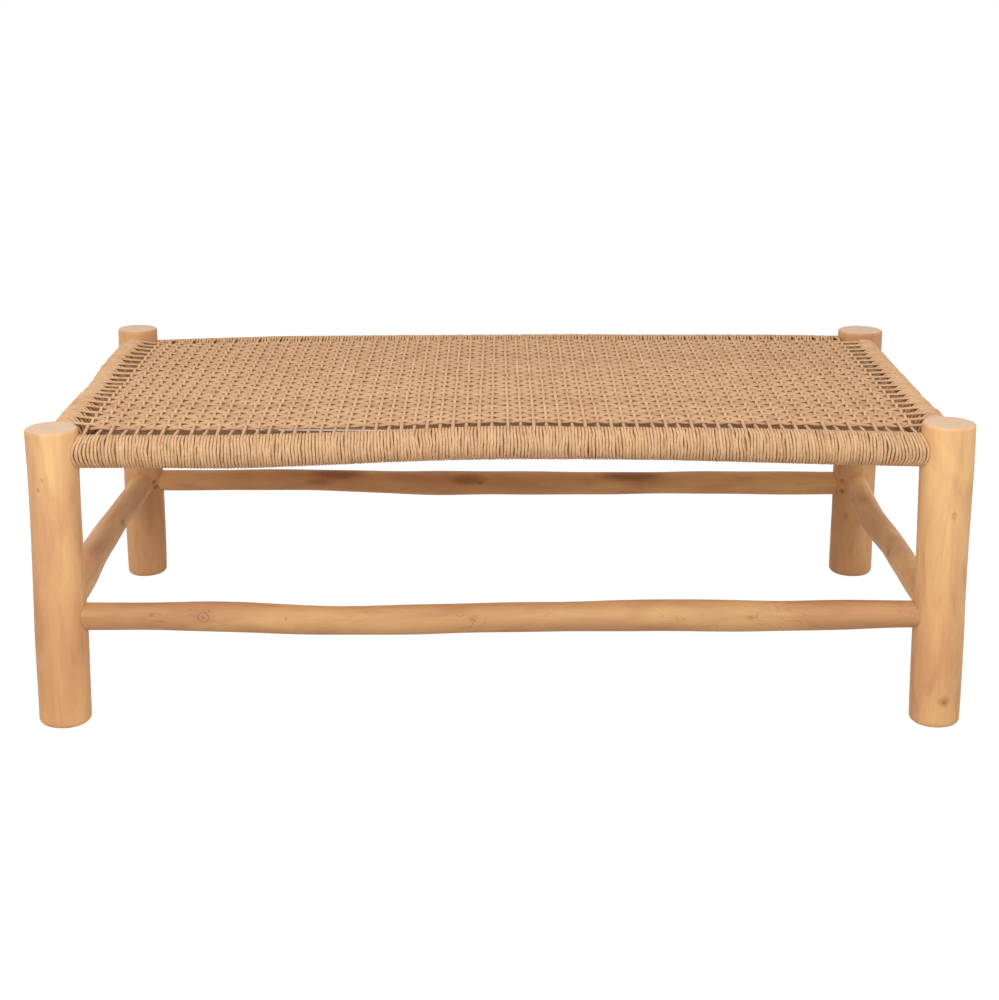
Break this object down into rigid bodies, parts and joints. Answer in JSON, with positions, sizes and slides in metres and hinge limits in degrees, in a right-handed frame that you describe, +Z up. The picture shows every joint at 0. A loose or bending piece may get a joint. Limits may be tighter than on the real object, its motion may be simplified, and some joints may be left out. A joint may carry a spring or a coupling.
{
  "type": "low table",
  "caption": "Low rectangular table of peeled round logs, tenoned together, with a top of woven cord wrapped over the seat rails.",
  "frame": {"origin": "on the floor, below the middle of the table", "axes": "+X along the long side to the right as seen from the front, +Y to the back, +Z up"},
  "size_m": [1.2008, 0.6648, 0.4],
  "materials": {
    "teak": "sanded, clear matt oil",
    "peg_wood": "cut flush, bare",
    "rail_cord": "twisted paper cord, matt",
    "woven_cord": "twisted paper cord, matt",
    "lower_cord": "twisted paper cord, matt"
  },
  "bodies": {
    "root": {"front_left_leg": "teak", "front_right_leg": "teak", "rear_left_leg": "teak", "rear_right_leg": "teak", "front_seat_rail": "teak", "front_stretcher": "teak", "front_rail_wrap": "rail_cord", "front_rail_end_turns_left": "rail_cord", "front_rail_peg_left": "peg_wood", "front_stretcher_peg_left": "peg_wood", "front_rail_end_turns_right": "rail_cord", "front_rail_peg_right": "peg_wood", "front_stretcher_peg_right": "peg_wood", "rear_seat_rail": "teak", "rear_stretcher": "teak", "rear_rail_wrap": "rail_cord", "rear_rail_end_turns_left": "rail_cord", "rear_rail_peg_left": "peg_wood", "rear_stretcher_peg_left": "peg_wood", "rear_rail_end_turns_right": "rail_cord", "rear_rail_peg_right": "peg_wood", "rear_stretcher_peg_right": "peg_wood", "left_seat_rail": "teak", "left_stretcher": "teak", "left_rail_wrap": "rail_cord", "left_rail_end_turns_front": "rail_cord", "left_rail_peg_front": "peg_wood", "left_stretcher_peg_front": "peg_wood", "left_rail_end_turns_rear": "rail_cord", "left_rail_peg_rear": "peg_wood", "left_stretcher_peg_rear": "peg_wood", "right_seat_rail": "teak", "right_stretcher": "teak", "right_rail_wrap": "rail_cord", "right_rail_end_turns_front": "rail_cord", "right_rail_peg_front": "peg_wood", "right_stretcher_peg_front": "peg_wood", "right_rail_end_turns_rear": "rail_cord", "right_rail_peg_rear": "peg_wood", "right_stretcher_peg_rear": "peg_wood", "woven_top": "woven_cord", "lower_cord_layer": "lower_cord"}
  },
  "joints": []
}
